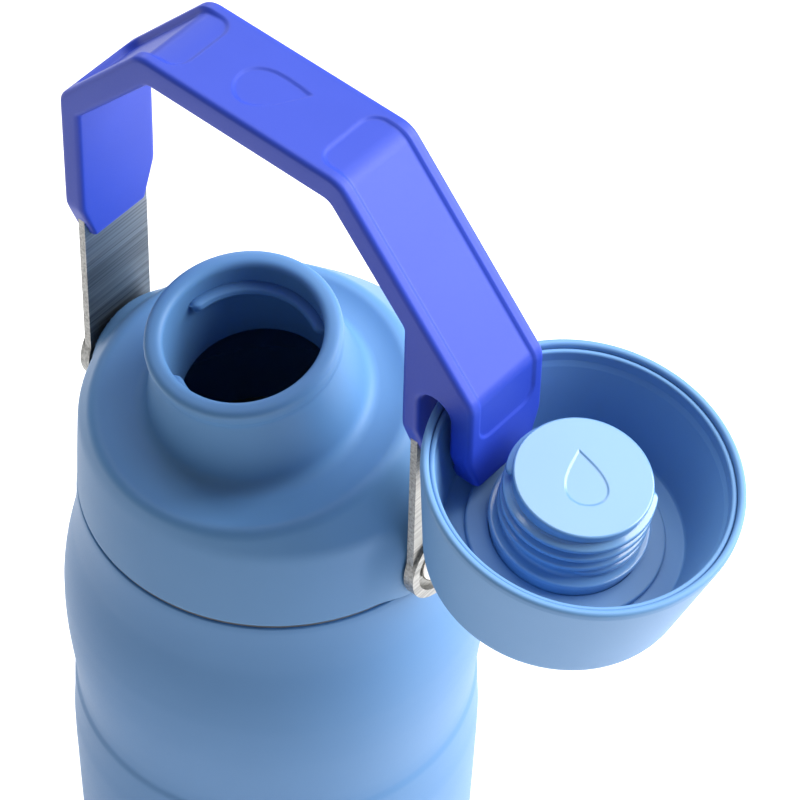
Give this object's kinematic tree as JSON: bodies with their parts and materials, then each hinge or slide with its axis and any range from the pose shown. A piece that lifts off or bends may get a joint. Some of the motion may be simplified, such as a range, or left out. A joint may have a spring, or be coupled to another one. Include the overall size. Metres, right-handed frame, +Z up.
{
  "type": "insulated water bottle",
  "caption": "Insulated steel water bottle with screw-on spout lid, swinging carry handle and a threaded cap parked in the handle's hook.",
  "frame": {"origin": "centre of the flat base plate's underside, on the bottle's axis", "axes": "+Z up the bottle's axis; +X along the handle's pivot axis, towards the hook that holds the cap; the spout leans towards -Y"},
  "size_m": [0.1871, 0.108, 0.3291],
  "materials": {
    "body_coat": "satin powder coat, light blue",
    "steel": "brushed stainless steel",
    "screw_steel": "polished stainless steel",
    "lid_plastic": "fine matte moulded plastic, light blue",
    "cap_plastic": "fine matte moulded plastic, light blue",
    "thread_plastic": "smooth moulded plastic, light blue",
    "grip_rubber": "soft-touch overmould, royal blue",
    "seal_silicone": "silicone",
    "brass": "turned brass",
    "nylon": "nylon",
    "foam": "moulded foam"
  },
  "bodies": {
    "bottle": {"outer_shell": "body_coat", "inner_liner": "steel", "liner_base": "steel", "base_plate": "steel", "vacuum_seal": "steel", "getter": "steel"},
    "gasket": {"lid_gasket": "seal_silicone"},
    "lid": {"lid_shell": "lid_plastic", "lid_collar": "lid_plastic", "pivot_inserts": "brass", "pivot_screws": "screw_steel", "bearing_washers": "nylon", "spring_washers": "screw_steel"},
    "handle": {"handle_strap": "steel", "handle_grip": "grip_rubber"},
    "seal": {"cap_seal": "seal_silicone"},
    "cap": {"cap_outer": "cap_plastic", "cap_inner": "cap_plastic", "cap_plug": "thread_plastic", "cap_foam": "foam"}
  },
  "joints": [
    {"name": "lid_lift", "type": "slide", "parent": "bottle", "child": "gasket", "axis": [0, 0, 1], "range_m": [0, 0.0092]},
    {"name": "lid_turn", "type": "hinge", "parent": "gasket", "child": "lid", "pos_m": [0, 0, 0.196], "axis": [0, 0, 1], "range_deg": [0, 330]},
    {"name": "handle_swing", "type": "hinge", "parent": "lid", "child": "handle", "pos_m": [0, 0, 0.2078], "axis": [1, 0, 0], "range_deg": [-100, 100]},
    {"name": "cap_unhook", "type": "slide", "parent": "handle", "child": "seal", "axis": [0, 0, -1], "range_m": [0, 0.026]},
    {"name": "cap_spin", "type": "hinge", "parent": "seal", "child": "cap", "pos_m": [0.0942, 0, 0.2689], "axis": [0.1839, 0, 0.9829], "continuous": true}
  ],
  "couplings": [
    {"joint": "lid_lift", "follows": "lid_turn", "m_per_rad": 0.0015915}
  ]
}
